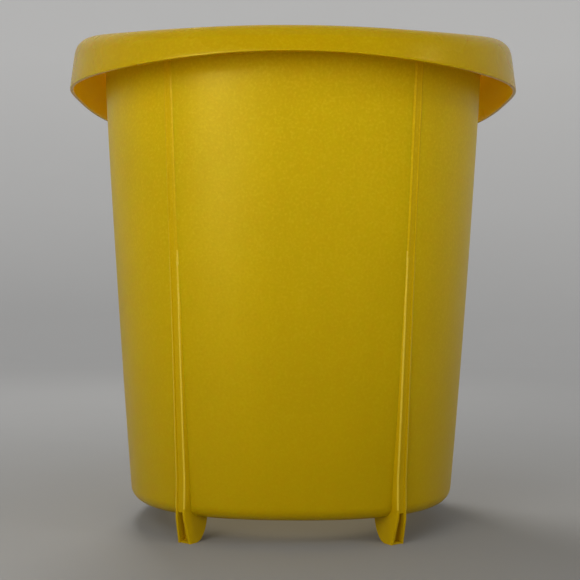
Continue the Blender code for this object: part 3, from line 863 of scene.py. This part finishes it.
for side, label in ((-1, "left"), (1, "right")):
    turnedFitting("pivotPin_" + label, "flap", turnedSteel, pinOutline, False,
                  side, 0, hingeHeight, "pivot_pin_" + label)
    turnedFitting("pivotBush_" + label, "lid", naturalNylon, bushOutline, True,
                  side, 0, hingeHeight, "pivot_bush_" + label)
    turnedFitting("balanceScrew_" + label, "flap", turnedSteel, screwOutline, False,
                  side, 0, barZ, "balance_screw_" + label)
    mesh = clipMesh("pinClip_" + label, side)
    clip = makePiece("pinClip_" + label, "flap", turnedSteel, mesh)
    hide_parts("pin_clip_" + label)
    for front, end in ((-1, "front"), (1, "back")):
        y, z = bufferPlace(front)
        turnedFitting("stopBuffer_" + end + "_" + label, "lid", bufferRubber,
                      bufferOutline, False, side, y, z, "stop_buffer_" + end + "_" + label)

barHalf = hingeForm["cheekX"] - hingeForm["cheekThick"] / 2 - 0.0003
barOutline = [(0.0, -barHalf + 0.013), (0.0023, -barHalf + 0.013), (0.0023, -barHalf)]
barOutline += [(0.0041, -barHalf), (0.0045, -barHalf + 0.0005)]
barOutline += [(radius, -distance) for radius, distance in reversed(barOutline)]
turnedFitting("balanceBar", "flap", turnedSteel, barOutline, False,
              1, 0, barZ, "balance_bar")

sealForm = {
    "inside": 0.1180,
    "middle": 0.1210,
    "outside": 0.1236,
    "top": lidForm["crown"] - lidForm["wall"] - 0.0003,
    "low": tubForm["rimTop"] + 0.0003,
    "corner": 0.0004,
}
sealOutline = [(sealForm["inside"], sealForm["top"], 1), (sealForm["outside"], sealForm["top"], 1)]
sealOutline += [(sealForm["outside"], sealForm["low"], 1), (sealForm["middle"], sealForm["low"])]
sealOutline.append((sealForm["inside"], sealForm["low"], 1))
sealOutline = softenCorners(sealOutline, sealForm["corner"], True)
sealMesh = roundTheBin("rimSeal", sealOutline, True, lidHeight)
seal = makePiece("rimSeal", "lid", sealRubber, sealMesh)
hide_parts("rim_seal")
print("hinge fittings and seal made")

# floor, light and camera
studio = {
    "floorColour": (0.33, 0.328, 0.324, 1),
    "floorReach": 2.6,
    "wallHeight": 3.2,
    "bend": 0.9,
    # the sweep lights itself a little away from the bin, like a light tent
    "floorGlow": 0.085,
    "wallGlow": 0.13,
    "upperGlow": 0.11,
    "throughBase": (0.15, 0.0125, 0.020, (1.0, 0.88, 0.62)),   # size, height, power, colour
    "skyColour": (0.93, 0.96, 1.0, 1),
    "skyStrength": 0.22,
    "aimHeight": 0.17,        # the lamps point at this height on the bin's axis
    # name: azimuth, height angle, distance, size, power, colour
    "lights": {
        "windowLight": (-27, 16, 0.72, 0.52, 1.62, (1.0, 0.99, 0.96)),
        "roomLight": (24, 1, 1.4, 1.1, 2.6, (1.0, 0.98, 0.95)),
        "sideLamp": (57, 30, 1.5, 0.15, 1.3, (1.0, 0.98, 0.95)),
        "windowGlint": (-31, 12, 1.5, 0.16, 9.0, (1.0, 0.98, 0.92)),
        "backLight": (-160, 52, 1.3, 0.45, 9.0, (1.0, 0.99, 0.97)),
    },
}


def studioSweep():
    # a round floor that turns up into a wall on every side
    reach = studio["floorReach"]
    bend = studio["bend"]
    outline = [(0.0, 0.0), (0.3, 0.0), (1.0, 0.0), (reach - bend, 0.0)]
    turns = [math.radians(a) for a in range(6, 91, 6)]
    outline += [(reach - bend + bend * math.sin(t), bend - bend * math.cos(t)) for t in turns]
    outline.append((reach, studio["wallHeight"]))
    steps = 96
    rows = [[Vector((0, 0, 0))]]
    for radius, height in outline[1:]:
        around = [math.tau * i / steps for i in range(steps)]
        rows.append([Vector((radius * math.cos(t), radius * math.sin(t), height)) for t in around])
    mesh = skinRows("studioSweep", rows, False, 80)
    sweep = addObject("studioSweep", mesh)
    material, nodes, links, shader = newMaterial("paleFloor")
    coords = place(nodes, links, "ShaderNodeTexCoord").outputs["Object"]
    mottled = noise(nodes, links, coords, 6, 4, 0.6)
    base = studio["floorColour"]
    darker = tuple(v * 0.94 for v in base[:3]) + (1,)
    links.new(mixColour(nodes, links, mottled, base, darker), shader.inputs["Base Color"])
    shader.inputs["Roughness"].default_value = 0.85
    away = vectorMath(nodes, links, "LENGTH", "Value", {0: coords})
    height = place(nodes, links, "ShaderNodeSeparateXYZ", feeds={"Vector": coords}).outputs["Z"]
    nearGlow = remap(nodes, links, away, 0.2, 1.0, 0.0, studio["floorGlow"])
    farGlow = remap(nodes, links, away, 1.0, 2.5, 0.0, studio["wallGlow"])
    upperGlow = remap(nodes, links, height, 0.1, 0.9, 0.0, studio["upperGlow"])
    glow = mathNode(nodes, links, "ADD", nearGlow, farGlow)
    glow = mathNode(nodes, links, "ADD", glow, upperGlow)
    links.new(glow, shader.inputs["Emission Strength"])
    shader.inputs["Emission Color"].default_value = (1.0, 0.995, 0.985, 1)
    mesh.materials.append(material)


def areaLight(name, azimuth, lift, distance, size, power, colour):
    data = bpy.data.lights.new(name, "AREA")
    data.shape = "DISK"
    data.size = size
    data.energy = power
    data.color = colour
    lamp = addObject(name, data)
    around, up = math.radians(azimuth), math.radians(lift)
    aim = Vector((0, 0, studio["aimHeight"]))
    level = math.cos(up)
    outward = Vector((math.sin(around) * level, -math.cos(around) * level, math.sin(up)))
    lamp.location = aim + outward * distance
    lamp.rotation_mode = "QUATERNION"
    lamp.rotation_quaternion = outward.to_track_quat("Z", "Y")
    lamp.visible_camera = False
    lamp.visible_glossy = name != "backLight"       # no white glare on the crown
    lamp.visible_diffuse = name != "windowGlint"    # only its shine is wanted


def lightThroughBase():
    # daylight that comes down through the thin base and tints the floor
    data = bpy.data.lights.new("lightThroughBase", "AREA")
    data.shape = "DISK"
    data.size, height, data.energy, data.color = studio["throughBase"]
    lamp = addObject("lightThroughBase", data)
    lamp.location = (0, 0, height)
    lamp.visible_camera = False


studioSweep()
for name, settings in studio["lights"].items():
    areaLight(name, *settings)
lightThroughBase()
world = bpy.data.worlds.new("studioSky")
world.use_nodes = True
world.node_tree.nodes["Background"].inputs["Color"].default_value = studio["skyColour"]
world.node_tree.nodes["Background"].inputs["Strength"].default_value = studio["skyStrength"]
bpy.context.scene.world = world
bpy.context.scene.view_settings.view_transform = "Standard"

cameraForm = {
    "distance": 0.668,        # from the bin's axis
    "height": 0.1342,
    "lens": 63.8,
    "sensor": 36,
    "tiltUp": 0.844,          # degrees
    "roll": 0.30,
    "aside": -0.0012,
}
cameraData = bpy.data.cameras.new("viewCamera")
cameraData.lens = cameraForm["lens"]
cameraData.sensor_width = cameraForm["sensor"]
camera = addObject("viewCamera", cameraData)
camera.location = (cameraForm["aside"], -cameraForm["distance"], cameraForm["height"])
tilt = Matrix.Rotation(math.radians(90 + cameraForm["tiltUp"]), 4, "X")
turn = tilt @ Matrix.Rotation(math.radians(cameraForm["roll"]), 4, "Z")
camera.rotation_mode = "QUATERNION"
camera.rotation_quaternion = turn.to_quaternion()
bpy.context.scene.camera = camera
print("studio and camera set")
